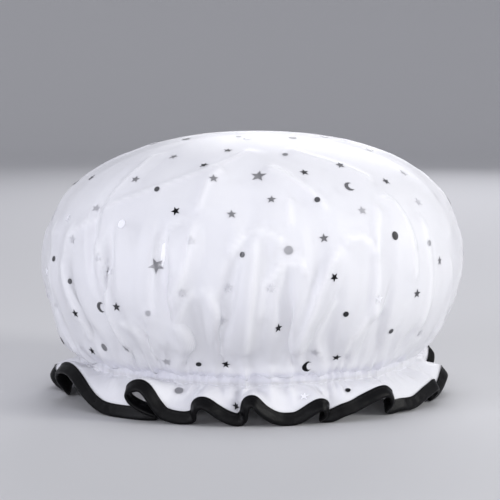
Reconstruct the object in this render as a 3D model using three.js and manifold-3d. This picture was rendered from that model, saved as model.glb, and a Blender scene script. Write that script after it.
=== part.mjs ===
// A double shower cap, puffed up and standing on its ruffle: a sheer cover over a waterproof lining,
// drawn in by an elastic that runs in a stitched casing between them, with the fluted edge of both
// layers bound in satin tape.
// Millimetres, +Z up, front towards -Y, origin on the table under the middle of the crown.
// Angles are in degrees from the front, turning right.
import * as THREE from "three";
import { mergeVertices } from "three/addons/utils/BufferGeometryUtils.js";
import Module from "manifold-3d";

// Crown of the cover, heights above the cut edge at the bottom of the flutes
const crownRadius = 117.5;
const crownHeight = 144;
const widestHeight = 69;
const shoulderFullness = 2.6; // superellipse power above the widest ring
const undersideFullness = 1.65; // and below it
const flatShoulder = 4.5; // how far the left shoulder lies inside the right one
const blouseAtSides = 2; // how far the crown bulges out over the casing
const drawnAtFront = 4; // and how far it is drawn in there at the front and back

// Folds of each layer's crown: how far it draws in between them, and their angles
const coverFolds = {
  depth: 2.4,
  angles: [-90, -69, -57, -43, -18, 0, 17, 33, 53, 66, 90, 120, 141, 162, 180, 201, 222, 253],
};
const liningFolds = {
  depth: 3.8,
  angles: [-84, -66, -44, -20, -4, 11, 27, 46, 65, 90, 114, 141, 164, 179, 196, 217, 240, 262],
};
const firstAngle = -90; // where every ring of points starts

// Casing that the elastic runs in
const waistRadius = 90;
const casingTop = 24.5;
const casingBottom = 16.5;
const casingColumnCount = 36;

// Ruffle: crests stand out and up, troughs lie on the table
const crestRadius = 108.5;
const troughRadius = 104;
const shallowLift = 8; // flutes up to this lift need fewer columns
// Where each flute leaves the table, where it is highest and where it is down again, and its lift
const flutes = [
  { foot: -105, crest: -96, end: -88, lift: 6 },
  { foot: -81, crest: -67, end: -44, lift: 15.5 },
  { foot: -39, crest: -31.5, end: -20, lift: 15 },
  { foot: -18, crest: -12, end: -4.5, lift: 8.5 },
  { foot: -3.5, crest: 1.5, end: 9, lift: 10 },
  { foot: 10.5, crest: 19, end: 23.5, lift: 7 },
  { foot: 25, crest: 39, end: 46, lift: 10.5 },
  { foot: 48, crest: 65.5, end: 71, lift: 7 },
  { foot: 73, crest: 84, end: 93, lift: 9 },
  { foot: 101.5, crest: 109, end: 119, lift: 13.5 },
  { foot: 122, crest: 132, end: 139, lift: 10.5 },
  { foot: 147, crest: 155, end: 165, lift: 14.5 },
  { foot: 170, crest: 178, end: 187, lift: 10.5 },
  { foot: 189, crest: 200, end: 207.5, lift: 13.5 },
  { foot: 211, crest: 222, end: 229, lift: 10 },
  { foot: 235, crest: 243, end: 253, lift: 12.5 },
];

// Cloth, elastic, tape and thread
const coverWall = 0.5;
const liningWall = 0.5;
const liningEaseAtTop = 2.2;
const liningEaseAtSide = 4.2;
const elasticWidth = 6;
const elasticThickness = 0.8;
const elasticLap = 15; // overlap of its two ends
const elasticJoin = 178; // angle where the lap starts
const tackThread = 0.4;
const tackStitches = 6;
const bindingWidth = 6;
const bindingWall = 0.6;
const seamThread = 0.5;
const threadInset = 1.2; // from a stitch row to the edge that it holds
const clearance = 0.3; // between pieces that lie on each other
const bindingClearance = 0.45; // between the tape and the edges and threads on it, which are waved
const restingFlat = 0.5; // how far the tape flattens on the table
const crownBackset = 0.6; // the casing turns into the crown on a slope, which raises the inner layers
const ruffleBackset = 0.4; // and into the ruffle on another, which lowers them

const degrees = Math.PI / 180;
const fullTurn = 2 * Math.PI;
const lerp = THREE.MathUtils.lerp;

// The elastic's ends lie on each other, with their tack inside, so the casing is two bands deep
const casingDepth = 2 * (elasticThickness + clearance) + tackThread + 2 * clearance;
const casingMiddle = (casingTop + casingBottom) / 2;

// How far each cloth surface lies inside the outside of the cover
const coverOutside = { top: 0, side: 0, waist: 0, rim: 0 };
const coverInside = deeper(coverOutside, coverWall);
const liningOutside = {
  top: coverInside.top + liningEaseAtTop,
  side: coverInside.side + liningEaseAtSide,
  waist: coverInside.waist + casingDepth,
  rim: coverInside.rim + clearance,
};
const liningInside = deeper(liningOutside, liningWall);

function deeper(surface, wall) {
  return Object.fromEntries(Object.entries(surface).map(([place, depth]) => [place, depth + wall]));
}

// A cosine wave: 0 at share 0, 1 at 1 and 0 again at 2
function swell(share) {
  return (1 - Math.cos(Math.PI * share)) / 2;
}

// Columns of points around a crown, as many for each fold, with how far each is drawn in: from nothing
// on a fold to the full depth halfway to the next one
function crownColumns({ angles, depth }, perFold) {
  return angles.flatMap((start, fold) => {
    const end = angles[fold + 1] ?? angles[0] + 360;
    return Array.from({ length: perFold }, (_, step) => ({
      angle: lerp(start, end, step / perFold) * degrees,
      drawn: depth * swell((2 * step) / perFold),
    }));
  });
}

// Columns around the rim, as many up each flute as down it, with how far each is up the lift
function fluteColumns(perSide, perShallowSide) {
  const columns = flutes.flatMap(({ foot, crest, end, lift }) => {
    const steps = lift > shallowLift ? perSide : perShallowSide;
    return Array.from({ length: 2 * steps + 1 }, (_, step) => {
      const share = step / steps;
      const angle = share < 1 ? lerp(foot, crest, share) : lerp(crest, end, share - 1);
      const past = THREE.MathUtils.euclideanModulo(angle - firstAngle, 360);
      return { angle: (firstAngle + past) * degrees, rise: swell(share), lift };
    });
  });
  return columns.sort((first, second) => first.angle - second.angle);
}

const rimColumns = fluteColumns(4, 3);
const casingColumns = Array.from({ length: casingColumnCount }, (_, index) => ({
  angle: firstAngle * degrees + (index / casingColumnCount) * fullTurn,
}));

function around(angle, radius, height) {
  return new THREE.Vector3(radius * Math.sin(angle), -radius * Math.cos(angle), height);
}

// The crown's profile by tilt in degrees: 90 on top, 0 at the widest ring, -90 at the casing
function crownProfile(tilt, depth) {
  const across = Math.cos(tilt * degrees);
  const along = Math.abs(Math.sin(tilt * degrees));
  const widest = crownRadius - depth.side;
  if (tilt >= 0) {
    const power = 2 / shoulderFullness;
    const rise = crownHeight - depth.top - widestHeight;
    return { radius: widest * across ** power, height: widestHeight + rise * along ** power };
  }
  const power = 2 / undersideFullness;
  const waist = waistRadius - depth.waist;
  const drop = widestHeight - casingTop - crownBackset * depth.waist;
  return { radius: lerp(waist, widest, across ** power), height: widestHeight - drop * along ** power };
}

// An arch over a range of tilts, nothing at both ends of it
function arch(tilt, low, high, power) {
  const share = (tilt - low) / (high - low);
  return share <= 0 || share >= 1 ? 0 : Math.sin(Math.PI * share ** power);
}

// Folds rise from the casing, are deepest under the widest ring and fade out on the shoulder
const foldRange = { low: -90, high: 45 };
// The crown bulges over the casing, or is drawn in there, most at its lower end
const blouseRange = { low: -90, high: -30 };
// The left shoulder is flat between the widest ring and the top
const shoulderRange = { low: 0, high: 90 };

function crownRing(tilt, columns, depth) {
  const { radius, height } = crownProfile(tilt, depth);
  const fold = arch(tilt, foldRange.low, foldRange.high, 1) ** 1.5;
  const blouse = arch(tilt, blouseRange.low, blouseRange.high, 0.5);
  const flat = flatShoulder * arch(tilt, shoulderRange.low, shoulderRange.high, 1);
  return columns.map(({ angle, drawn }) => {
    const left = Math.max(-Math.sin(angle), 0) ** 1.5;
    const bulge = blouse * lerp(-drawnAtFront, blouseAtSides, Math.sin(angle) ** 2);
    const out = bulge - fold * drawn - flat * left * Math.cos(tilt * degrees);
    return around(angle, radius + out, height - flat * left * Math.sin(tilt * degrees));
  });
}

function casingRing(height, depth) {
  return casingColumns.map(({ angle }) => around(angle, waistRadius - depth.waist, height));
}

// The ruffle at one column, as a line in the radius and height plane from the casing to the rim:
// where it ends, which way it runs and which way is inwards across it
function ruffleLine({ rise, lift }) {
  const start = new THREE.Vector2(waistRadius, casingBottom);
  const end = new THREE.Vector2(lerp(troughRadius, crestRadius, rise), lift * rise);
  const run = end.clone().sub(start).normalize();
  return { end, run, inwards: new THREE.Vector2(run.y, -run.x) };
}

// A point near the rim, so far back from the cut edge and so deep inside the cover's outside
function rufflePoint(column, fromEdge, depth) {
  const { end, run, inwards } = ruffleLine(column);
  const place = end.clone().addScaledVector(run, -fromEdge).addScaledVector(inwards, depth);
  return around(column.angle, place.x, place.y);
}

const topTilts = [68, 48];
const sideTilts = [30, 12, 0, -28, -52, -74];

// The rings of a cloth surface from its pole to its cut edge, each with its columns
function clothSurface(folds, depth) {
  const topColumns = crownColumns(folds, 1);
  const sideColumns = crownColumns(folds, 2);
  return {
    pole: new THREE.Vector3(0, 0, crownHeight - depth.top),
    rings: [
      ...topTilts.map((tilt) => [topColumns, crownRing(tilt, topColumns, depth)]),
      ...sideTilts.map((tilt) => [sideColumns, crownRing(tilt, sideColumns, depth)]),
      [casingColumns, casingRing(casingTop + crownBackset * depth.waist, depth)],
      [casingColumns, casingRing(casingBottom - ruffleBackset * depth.waist, depth)],
      [rimColumns, rimColumns.map((column) => rufflePoint(column, bindingWidth, depth.rim))],
      [rimColumns, rimColumns.map((column) => rufflePoint(column, 0, depth.rim))],
    ],
  };
}

// Points and faces gathered into one closed geometry
class Skin {
  points = [];
  faces = [];

  ring(points) {
    return points.map((point) => this.points.push(point) - 1);
  }

  // Faces between two closed rings of as many corners. Each quad is split between its second near
  // corner and its first far one, or the other way if crossed.
  band(near, far, crossed = () => false) {
    near.forEach((corner, index) => {
      const next = (index + 1) % near.length;
      const [head, tail] = crossed(index) ? [far[next], corner] : [near[next], far[index]];
      this.face(corner, far[index], head);
      this.face(near[next], tail, far[next]);
    });
  }

  // Faces between two closed rings of columns at any angles, stepping along the ring that is behind
  zip(near, far, flipped) {
    const angleAt = ({ angles }, step) =>
      angles[step % angles.length] + fullTurn * Math.floor(step / angles.length);
    const cornerAt = ({ corners }, step) => corners[step % corners.length];
    const [nearCount, farCount] = [near.corners.length, far.corners.length];
    let [nearStep, farStep] = [0, 0];
    while (nearStep < nearCount || farStep < farCount) {
      const nearIsBehind = angleAt(near, nearStep + 1) <= angleAt(far, farStep + 1);
      const stepsNear = farStep === farCount || (nearStep < nearCount && nearIsBehind);
      const third = stepsNear ? cornerAt(near, nearStep + 1) : cornerAt(far, farStep + 1);
      this.face(cornerAt(near, nearStep), cornerAt(far, farStep), third, flipped);
      if (stepsNear) nearStep += 1;
      else farStep += 1;
    }
  }

  face(a, b, c, flipped = false) {
    this.faces.push(...(flipped ? [a, c, b] : [a, b, c]));
  }

  geometry() {
    const geometry = new THREE.BufferGeometry().setFromPoints(this.points);
    return geometry.setIndex(this.faces);
  }
}

// A cloth layer: its outside, its inside and the cut edge between them
function clothGeometry(folds, outside, inside) {
  const skin = new Skin();
  const edges = [outside, inside].map((depth, side) => {
    const flipped = side === 1;
    const surface = clothSurface(folds, depth);
    const [pole] = skin.ring([surface.pole]);
    const rings = surface.rings.map(([columns, points]) => ({
      angles: columns.map((column) => column.angle),
      corners: skin.ring(points),
    }));
    const top = rings[0].corners;
    top.forEach((corner, index) => skin.face(pole, corner, top[(index + 1) % top.length], flipped));
    rings.slice(1).forEach((ring, index) => skin.zip(rings[index], ring, flipped));
    return rings.at(-1).corners;
  });
  skin.band(edges[0], edges[1]);
  return skin.geometry();
}

// A section carried through its stations, either closed on itself or ended by flat caps
function sweptGeometry(stations, closed, crossed) {
  const skin = new Skin();
  const sections = stations.map((points) => skin.ring(points));
  sections.forEach((section, index) => {
    if (index + 1 < sections.length) skin.band(section, sections[index + 1], crossed);
    else if (closed) skin.band(section, sections[0], crossed);
  });
  if (!closed) {
    const [first, last] = [sections[0], sections.at(-1)];
    for (let corner = 1; corner + 1 < first.length; corner++) {
      skin.face(first[0], first[corner], first[corner + 1]);
      skin.face(last[0], last[corner + 1], last[corner]);
    }
  }
  return skin.geometry();
}

// A thread ring of square section on the casing
function casingThread(radius, height) {
  const half = seamThread / 2;
  const corners = [[-half, -half], [half, -half], [half, half], [-half, half]];
  const stations = casingColumns.map(({ angle }) =>
    corners.map(([out, up]) => around(angle, radius + out, height + up)),
  );
  return sweptGeometry(stations, true);
}

// A thread ring of square section on one side of the tape
function bindingThread(depth) {
  const half = seamThread / 2;
  const corners = [[-half, -half], [half, -half], [half, half], [-half, half]];
  const stations = rimColumns.map((column) =>
    corners.map(([back, deep]) => rufflePoint(column, bindingWidth - threadInset + back, depth + deep)),
  );
  return sweptGeometry(stations, true);
}

// The tape folded over both cut edges, as a U section: outer leg, fold and inner leg
const tapeOuterFace = -bindingClearance - bindingWall;
const tapeInnerFace = liningInside.rim + bindingClearance + bindingWall;
const tapeFold = -bindingClearance - bindingWall;
const innerLegFaces = [4, 6]; // the section's edges along both faces of its inner leg

function bindingGeometry() {
  const section = [
    [tapeFold, tapeOuterFace],
    [bindingWidth, tapeOuterFace],
    [bindingWidth, tapeOuterFace + bindingWall],
    [-bindingClearance, tapeOuterFace + bindingWall],
    [-bindingClearance, tapeInnerFace - bindingWall],
    [bindingWidth, tapeInnerFace - bindingWall],
    [bindingWidth, tapeInnerFace],
    [tapeFold, tapeInnerFace],
  ];
  const stations = rimColumns.map((column) =>
    section.map(([back, depth]) => rufflePoint(column, back, depth)),
  );
  // The inner leg runs up and the outer one down, so its quads are crossed to lie as the cloth's do
  return sweptGeometry(stations, true, (edge) => innerLegFaces.includes(edge));
}

// The elastic winds in by one thickness over its turn, so that its ends lap with a clearance
const elasticStart = waistRadius - coverInside.waist - clearance;
const elasticPitch = elasticThickness + clearance;
const lapAngle = elasticLap / elasticStart;
const joinAngle = elasticJoin * degrees;

// A point on the straight facets between the casing's columns
function onFacet(angle, radius) {
  const step = fullTurn / casingColumnCount;
  const past = THREE.MathUtils.euclideanModulo(angle - casingColumns[0].angle, step);
  return (radius * Math.cos(step / 2)) / Math.cos(past - step / 2);
}

function elasticPoint(travel, inwards, height) {
  const angle = joinAngle + travel;
  const radius = elasticStart - (elasticPitch * travel) / fullTurn - inwards;
  return around(angle, onFacet(angle, radius), height);
}

function elasticGeometry() {
  const end = fullTurn + lapAngle;
  const corner = 1e-6; // closer stations than this are one
  const passed = [0, 1].flatMap((lap) =>
    casingColumns.map(({ angle }) => {
      const travel = THREE.MathUtils.euclideanModulo(angle - joinAngle, fullTurn);
      return travel + lap * fullTurn;
    }),
  );
  const between = passed.filter((travel) => travel > corner && travel < end - corner);
  const stations = [0, ...between, end].sort((a, b) => a - b);
  const half = elasticWidth / 2;
  const corners = [[0, -half], [0, half], [elasticThickness, half], [elasticThickness, -half]];
  const sections = stations.map((travel) =>
    corners.map(([inwards, up]) => elasticPoint(travel, inwards, casingMiddle + up)),
  );
  return sweptGeometry(sections, false);
}

// The zigzag of thread that tacks the lapped ends, on the inner face of the lap
function tackGeometry() {
  const reach = elasticWidth / 2 - threadInset;
  const face = elasticThickness + clearance;
  const run = elasticLap / (tackStitches + 1);
  const half = (tackThread / 2) * Math.hypot(1, (2 * reach) / run); // upright half of a slanting thread
  const corners = [[0, -half], [0, half], [tackThread, half], [tackThread, -half]];
  const stations = Array.from({ length: tackStitches + 1 }, (_, stitch) => {
    const travel = fullTurn + (lapAngle * (stitch + 0.5)) / (tackStitches + 1);
    const height = casingMiddle + (stitch % 2 ? reach : -reach);
    return corners.map(([inwards, up]) => elasticPoint(travel, face + inwards, height + up));
  });
  return sweptGeometry(stations, false);
}

const wasm = await Module();
wasm.setup();

function solid(geometry) {
  const bare = geometry.index ? geometry.clone() : mergeVertices(geometry);
  bare.deleteAttribute("normal");
  bare.deleteAttribute("uv");
  const merged = mergeVertices(bare);
  return new wasm.Manifold(
    new wasm.Mesh({
      numProp: 3,
      vertProperties: new Float32Array(merged.attributes.position.array),
      triVerts: new Uint32Array(merged.index.array),
    }),
  );
}

function geometryOf(manifold) {
  const mesh = manifold.getMesh();
  const geometry = new THREE.BufferGeometry();
  geometry.setAttribute("position", new THREE.BufferAttribute(mesh.vertProperties, 3));
  return geometry.setIndex(new THREE.BufferAttribute(mesh.triVerts, 1));
}

// Cut everything under the table off, where the tape lies flat
function flattened(geometry, tableHeight) {
  const slab = new THREE.BoxGeometry(4 * crownRadius, 4 * crownRadius, crownRadius);
  slab.translate(0, 0, tableHeight - crownRadius / 2);
  return geometryOf(solid(geometry).subtract(solid(slab)));
}

const binding = bindingGeometry();
binding.computeBoundingBox();
const tableHeight = binding.boundingBox.min.z + restingFlat;

const materials = {
  organza: new THREE.MeshStandardMaterial({ color: 0xf2f2fa, roughness: 0.5, metalness: 0 }),
  film: new THREE.MeshStandardMaterial({ color: 0xf6f6f8, roughness: 0.4, metalness: 0 }),
  elastic: new THREE.MeshStandardMaterial({ color: 0xececf0, roughness: 0.8, metalness: 0 }),
  satin: new THREE.MeshStandardMaterial({ color: 0x0d0d10, roughness: 0.35, metalness: 0 }),
  whiteThread: new THREE.MeshStandardMaterial({ color: 0xf4f4f6, roughness: 0.7, metalness: 0 }),
  blackThread: new THREE.MeshStandardMaterial({ color: 0x141416, roughness: 0.6, metalness: 0 }),
};

const cap = new THREE.Group();

function addPiece(name, geometry, material) {
  const mesh = new THREE.Mesh(geometry, material);
  mesh.name = name;
  cap.add(mesh);
}

const upperRow = casingTop - threadInset / 2;
const lowerRow = casingBottom + threadInset / 2;
const threadSeat = clearance + seamThread / 2;
const tapeThreadSeat = bindingClearance + seamThread / 2;
const outerRow = waistRadius + threadSeat;
const innerRow = waistRadius - liningInside.waist - threadSeat;

addPiece("outer_cover", clothGeometry(coverFolds, coverOutside, coverInside), materials.organza);
addPiece("lining", clothGeometry(liningFolds, liningOutside, liningInside), materials.film);
addPiece("elastic_band", elasticGeometry(), materials.elastic);
addPiece("elastic_tack", tackGeometry(), materials.whiteThread);
addPiece("upper_casing_thread", casingThread(outerRow, upperRow), materials.whiteThread);
addPiece("lower_casing_thread", casingThread(outerRow, lowerRow), materials.whiteThread);
addPiece("upper_bobbin_thread", casingThread(innerRow, upperRow), materials.whiteThread);
addPiece("lower_bobbin_thread", casingThread(innerRow, lowerRow), materials.whiteThread);
addPiece("rim_binding", flattened(binding, tableHeight), materials.satin);
addPiece("binding_thread", bindingThread(tapeOuterFace - tapeThreadSeat), materials.blackThread);
addPiece("binding_bobbin_thread", bindingThread(tapeInnerFace + tapeThreadSeat), materials.blackThread);

cap.position.z = -tableHeight;

export default cap;
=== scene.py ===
import math
import bpy
import numpy as np
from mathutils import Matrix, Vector
from mathutils.bvhtree import BVHTree


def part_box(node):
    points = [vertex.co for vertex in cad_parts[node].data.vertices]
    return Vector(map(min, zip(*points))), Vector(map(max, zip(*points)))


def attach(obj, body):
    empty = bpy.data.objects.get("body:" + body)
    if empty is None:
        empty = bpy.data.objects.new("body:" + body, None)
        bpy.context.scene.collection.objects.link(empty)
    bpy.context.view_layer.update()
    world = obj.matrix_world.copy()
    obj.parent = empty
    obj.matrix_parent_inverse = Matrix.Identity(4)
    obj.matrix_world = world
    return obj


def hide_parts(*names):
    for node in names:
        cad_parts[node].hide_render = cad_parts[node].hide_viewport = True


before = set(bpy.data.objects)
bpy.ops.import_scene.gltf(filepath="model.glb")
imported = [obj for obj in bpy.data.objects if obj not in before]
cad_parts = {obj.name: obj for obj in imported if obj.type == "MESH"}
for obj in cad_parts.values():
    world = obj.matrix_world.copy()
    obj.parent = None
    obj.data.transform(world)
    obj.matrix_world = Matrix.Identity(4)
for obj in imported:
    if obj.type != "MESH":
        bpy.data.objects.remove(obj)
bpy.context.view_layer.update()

mm = 0.001
turn = 2 * np.pi


# Sizes of the construction, read from the frame, in mm
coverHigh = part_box("outer_cover")[1]
upperLow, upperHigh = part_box("upper_casing_thread")
lowerLow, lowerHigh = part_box("lower_casing_thread")
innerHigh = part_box("upper_bobbin_thread")[1]
elasticLow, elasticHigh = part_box("elastic_band")
threadDepth, threadClear = 0.8, 0.3  # mm of a casing thread with its clearance, and of the clearance alone
build = {
    "crownRadius": coverHigh.x / mm,
    "crownTop": coverHigh.z / mm,
    "upperRow": (upperLow.z + upperHigh.z) / 2 / mm,
    "lowerRow": (lowerLow.z + lowerHigh.z) / 2 / mm,
    "coverWaist": upperHigh.x / mm - threadDepth,
    "liningWaist": innerHigh.x / mm + threadClear,
    "elasticRadius": elasticHigh.x / mm,
    "elasticLow": elasticLow.z / mm,
    "elasticHigh": elasticHigh.z / mm,
}


# Camera at the photograph's place
photo = {
    "pixels": 500,
    "distance": 1100,
    "elevation": 6.0,
    "aim": (0.5, 0, 78.6),
    "acrossAtAim": 277.5,  # mm that the frame spans at the aim
    "sensor": 36,
}


def addObject(name, data):
    thing = bpy.data.objects.new(name, data)
    bpy.context.scene.collection.objects.link(thing)
    return thing


# The way from the aim back to the eye
def backward(view):
    tilt = math.radians(view["elevation"])
    return Vector((0, -math.cos(tilt), math.sin(tilt)))


# A camera or lamp looks along its own -Z
def turnToward(thing, way):
    thing.rotation_mode = "QUATERNION"
    thing.rotation_quaternion = way.to_track_quat("-Z", "Y")


def makeCamera(view):
    camera = bpy.data.cameras.new("photo_camera")
    camera.sensor_width = view["sensor"]
    camera.lens = view["sensor"] * view["distance"] / view["acrossAtAim"]
    thing = addObject("photo_camera", camera)
    thing.location = (Vector(view["aim"]) + backward(view) * view["distance"]) * mm
    turnToward(thing, -backward(view))
    bpy.context.scene.camera = thing


# A ray through a pixel: the eye, and the direction from the frame's centre by the pixel's share of its width
def pixelRay(view, x, y):
    back = backward(view)
    up = Vector((0, back.z, -back.y))
    half = view["pixels"] / 2
    step = view["acrossAtAim"] / view["pixels"]
    eye = Vector(view["aim"]) + back * view["distance"]
    toward = -back * view["distance"] + Vector((1, 0, 0)) * ((x - half) * step) + up * ((half - y) * step)
    return eye, toward.normalized()


makeCamera(photo)
print("camera placed")


# Shared mesh helpers

# Quads between neighbouring rows and columns of a grid, the columns closed round
def ringFaces(rows, columns, first=0):
    row, column = np.meshgrid(np.arange(rows - 1), np.arange(columns), indexing="ij")
    beside = (column + 1) % columns
    corners = [row * columns + column, (row + 1) * columns + column,
               (row + 1) * columns + beside, row * columns + beside]
    return np.stack(corners, -1).reshape(-1, 4) + first


# A smooth mesh object, from points in m and blocks of faces
def makeObject(name, points, faces, material):
    mesh = bpy.data.meshes.new(name)
    mesh.from_pydata(points.tolist(), [], [face for block in faces for face in block.tolist()])
    mesh.polygons.foreach_set("use_smooth", np.full(len(mesh.polygons), True))
    mesh.materials.append(material)
    return addObject(name, mesh)


# A piece of the cap, from points in mm, with the place of each on the flat cloth in m where it has one
def makePiece(name, points, faces, material, uv=None):
    piece = makeObject(name, points * mm, faces, material)
    if uv is not None:
        layer = piece.data.uv_layers.new(name="cut")
        corner = np.empty(len(piece.data.loops), np.int32)
        piece.data.loops.foreach_get("vertex_index", corner)
        layer.data.foreach_set("uv", uv[corner].astype(np.float32).ravel())
    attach(piece, "root")
    return piece


def unit(vectors):
    return vectors / np.maximum(np.linalg.norm(vectors, axis=-1, keepdims=True), 1e-9)


# Outward normals of a grid of points: down the rows crossed with round the columns
def gridNormals(grid):
    down = np.gradient(grid, axis=0)
    along = np.roll(grid, -1, axis=1) - np.roll(grid, 1, axis=1)
    return unit(np.cross(down, along))


# Length along a line of points, up to each of them
def runAlong(points):
    return np.concatenate([[0], np.cumsum(np.linalg.norm(np.diff(points, axis=0), axis=-1))])


# Places at given lengths along such a line
def readAlong(at, run, points):
    return np.stack([np.interp(at, run, points[:, axis]) for axis in range(3)], -1)


# So many angles, evenly round a turn
def evenAngles(count):
    return np.linspace(0, turn, count, endpoint=False)


# Points from angle (from the front, turning right), radius and height
def around(angle, radius, height):
    return np.stack(np.broadcast_arrays(radius * np.sin(angle), -radius * np.cos(angle), height), -1)


# Seeded waves that close round the cap: a sum of cosines of the angle and of the distance up the cloth
def clothNoise(angle, rise, seed, wave, radius=110, terms=14, sizes=(0.75, 1.35)):
    rng = np.random.default_rng(seed)
    total = 0
    for _ in range(terms):
        lean = rng.uniform(0, turn)
        size = wave * rng.uniform(*sizes)
        count = round(turn * radius / size * math.cos(lean))
        up = turn / size * math.sin(lean)
        total = total + np.cos(count * angle + up * rise + rng.uniform(0, turn))
    return total / math.sqrt(terms)


# From 0 to 1 between two values, level at both
def smoothStep(low, high, value):
    share = np.clip((value - low) / (high - low), 0, 1)
    return share * share * (3 - 2 * share)


# Bell curve: 1 at its place, a third at its spread
def bell(value, spread, at=0):
    return np.exp(-((value - at) / spread) ** 2)


# An angle between half a turn left and half a turn right
def wrapped(angle):
    return (angle + np.pi) % turn - np.pi


# Materials

# A node's inputs: sockets are linked to them, numbers and colours are set on them
def feed(node, inputs):
    for label, value in inputs.items():
        socket = node.inputs[label]
        if isinstance(value, bpy.types.NodeSocket):
            node.id_data.links.new(value, socket)
        else:
            socket.default_value = (*value, 1) if socket.type == "RGBA" else value


def addNode(tree, kind, inputs, **settings):
    node = tree.nodes.new("ShaderNode" + kind)
    for label, value in settings.items():
        setattr(node, label, value)
    feed(node, inputs)
    return node


# One step of arithmetic on sockets and numbers
def mathNode(tree, operation, *values):
    return addNode(tree, "Math", dict(enumerate(values)), operation=operation).outputs[0]


def mixColours(tree, share, first, second):
    inputs = {"Factor": share, "A": first, "B": second}
    return addNode(tree, "Mix", inputs, data_type="RGBA").outputs["Result"]


def mapRange(tree, value, low, high, outLow, outHigh):
    inputs = {"Value": value, "From Min": low, "From Max": high, "To Min": outLow, "To Max": outHigh}
    return addNode(tree, "MapRange", inputs).outputs["Result"]


def coordinate(tree, kind):
    return addNode(tree, "TexCoord", {}).outputs[kind]


def attribute(tree, name):
    return addNode(tree, "Attribute", {}, attribute_name=name).outputs["Fac"]


# A pattern as a node group: a place and a size go in, one number comes out
def nodeGroup(name, sizeLabel, size, outLabel):
    group = bpy.data.node_groups.new(name, "ShaderNodeTree")
    group.interface.new_socket("Vector", in_out="INPUT", socket_type="NodeSocketVector")
    group.interface.new_socket(sizeLabel, in_out="INPUT", socket_type="NodeSocketFloat").default_value = size
    group.interface.new_socket(outLabel, in_out="OUTPUT", socket_type="NodeSocketFloat")
    entry = group.nodes.new("NodeGroupInput").outputs
    return group, entry["Vector"], entry[sizeLabel], group.nodes.new("NodeGroupOutput")


# Woven threads: a sine across and a sine along the cut cloth, the higher of the two being the thread on top
def weaveGroup():
    group, place, pitch, result = nodeGroup("woven_threads", "Pitch", 0.0006, "Threads")
    parts = addNode(group, "SeparateXYZ", {0: place})
    waves = []
    for axis in ("X", "Y"):
        count = mathNode(group, "DIVIDE", parts.outputs[axis], pitch)
        swing = mathNode(group, "SINE", mathNode(group, "MULTIPLY", count, turn))
        waves.append(mathNode(group, "MULTIPLY_ADD", swing, 0.5, 0.5))
    feed(result, {"Threads": mathNode(group, "MAXIMUM", *waves)})
    return group


# Uneven tone: two sizes of noise added, from 0 to 1
def mottleGroup(fineScale=7, fineShare=0.35):
    group, place, scale, result = nodeGroup("uneven_tone", "Scale", 40, "Tone")
    smaller = mathNode(group, "MULTIPLY", scale, fineScale)
    coarse = addNode(group, "TexNoise", {"Vector": place, "Scale": scale, "Detail": 3})
    fine = addNode(group, "TexNoise", {"Vector": place, "Scale": smaller, "Detail": 5})
    broad = mathNode(group, "MULTIPLY", coarse.outputs["Fac"], 1 - fineShare)
    feed(result, {"Tone": mathNode(group, "MULTIPLY_ADD", fine.outputs["Fac"], fineShare, broad)})
    return group


sharedGroups = {"weave": weaveGroup(), "mottle": mottleGroup()}


def placeGroup(tree, which, vector, **size):
    return addNode(tree, "Group", {"Vector": vector, **size}, node_tree=sharedGroups[which]).outputs[0]


def newMaterial(name, colour, **sockets):
    material = bpy.data.materials.new(name)
    material.use_nodes = True
    shader = material.node_tree.nodes["Principled BSDF"]
    feed(shader, {"Base Color": colour})
    feed(shader, {label.replace("_", " "): value for label, value in sockets.items()})
    return material, material.node_tree, shader


def addBump(tree, shader, height, distance, strength):
    bump = addNode(tree, "Bump", {"Distance": distance, "Strength": strength, "Height": height})
    feed(shader, {"Normal": bump.outputs["Normal"]})


# Colour from dark to light with a tone, and roughness from one value to another over the tone's span
def shadeBy(tree, shader, tone, dark, light, roughness, span=(0.3, 0.7)):
    colour = mixColours(tree, tone, dark, light)
    feed(shader, {"Base Color": colour, "Roughness": mapRange(tree, tone, *span, *roughness)})
    return colour


organza = {"pitch": 0.00045, "open": 0.40, "thread": 0.60, "doubled": 0.14}  # m, and shares that it hides


def organzaMaterial():
    material, tree, shader = newMaterial("sheer_organza", (0.93, 0.93, 0.97), Sheen_Weight=0.25,
                                         Sheen_Roughness=0.4, Specular_IOR_Level=0.4)
    cut = coordinate(tree, "UV")
    threads = placeGroup(tree, "weave", cut, Pitch=organza["pitch"])
    tone = placeGroup(tree, "mottle", cut, Scale=30)
    fold_and_highlight = attribute(tree, "fold_and_highlight")  # 1 along a crease, where the cloth lies double and more opaque, and where a painted highlight brightens it
    colour = shadeBy(tree, shader, tone, dark=(0.88, 0.88, 0.94), light=(0.97, 0.97, 0.99),
                     roughness=(0.36, 0.5))
    single = mapRange(tree, threads, 0, 1, organza["open"], organza["thread"])
    # Along the creases the colour goes to a brighter white, a painted highlight on the ridges; the added
    # alpha is the doubled cloth
    feed(shader, {"Base Color": mixColours(tree, fold_and_highlight, colour, (0.97, 0.97, 1.0)),
                  "Alpha": mathNode(tree, "MULTIPLY_ADD", fold_and_highlight, organza["doubled"], single)})
    addBump(tree, shader, threads, distance=0.00003, strength=0.4)
    return material


def filmMaterial():
    material, tree, shader = newMaterial("waterproof_film", (0.93, 0.93, 0.95), Specular_IOR_Level=0.45)
    tone = placeGroup(tree, "mottle", coordinate(tree, "Object"), Scale=55)
    shadeBy(tree, shader, tone, dark=(0.90, 0.90, 0.94), light=(0.95, 0.95, 0.96), roughness=(0.38, 0.55))
    addBump(tree, shader, tone, distance=0.0006, strength=0.5)
    return material


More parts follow.
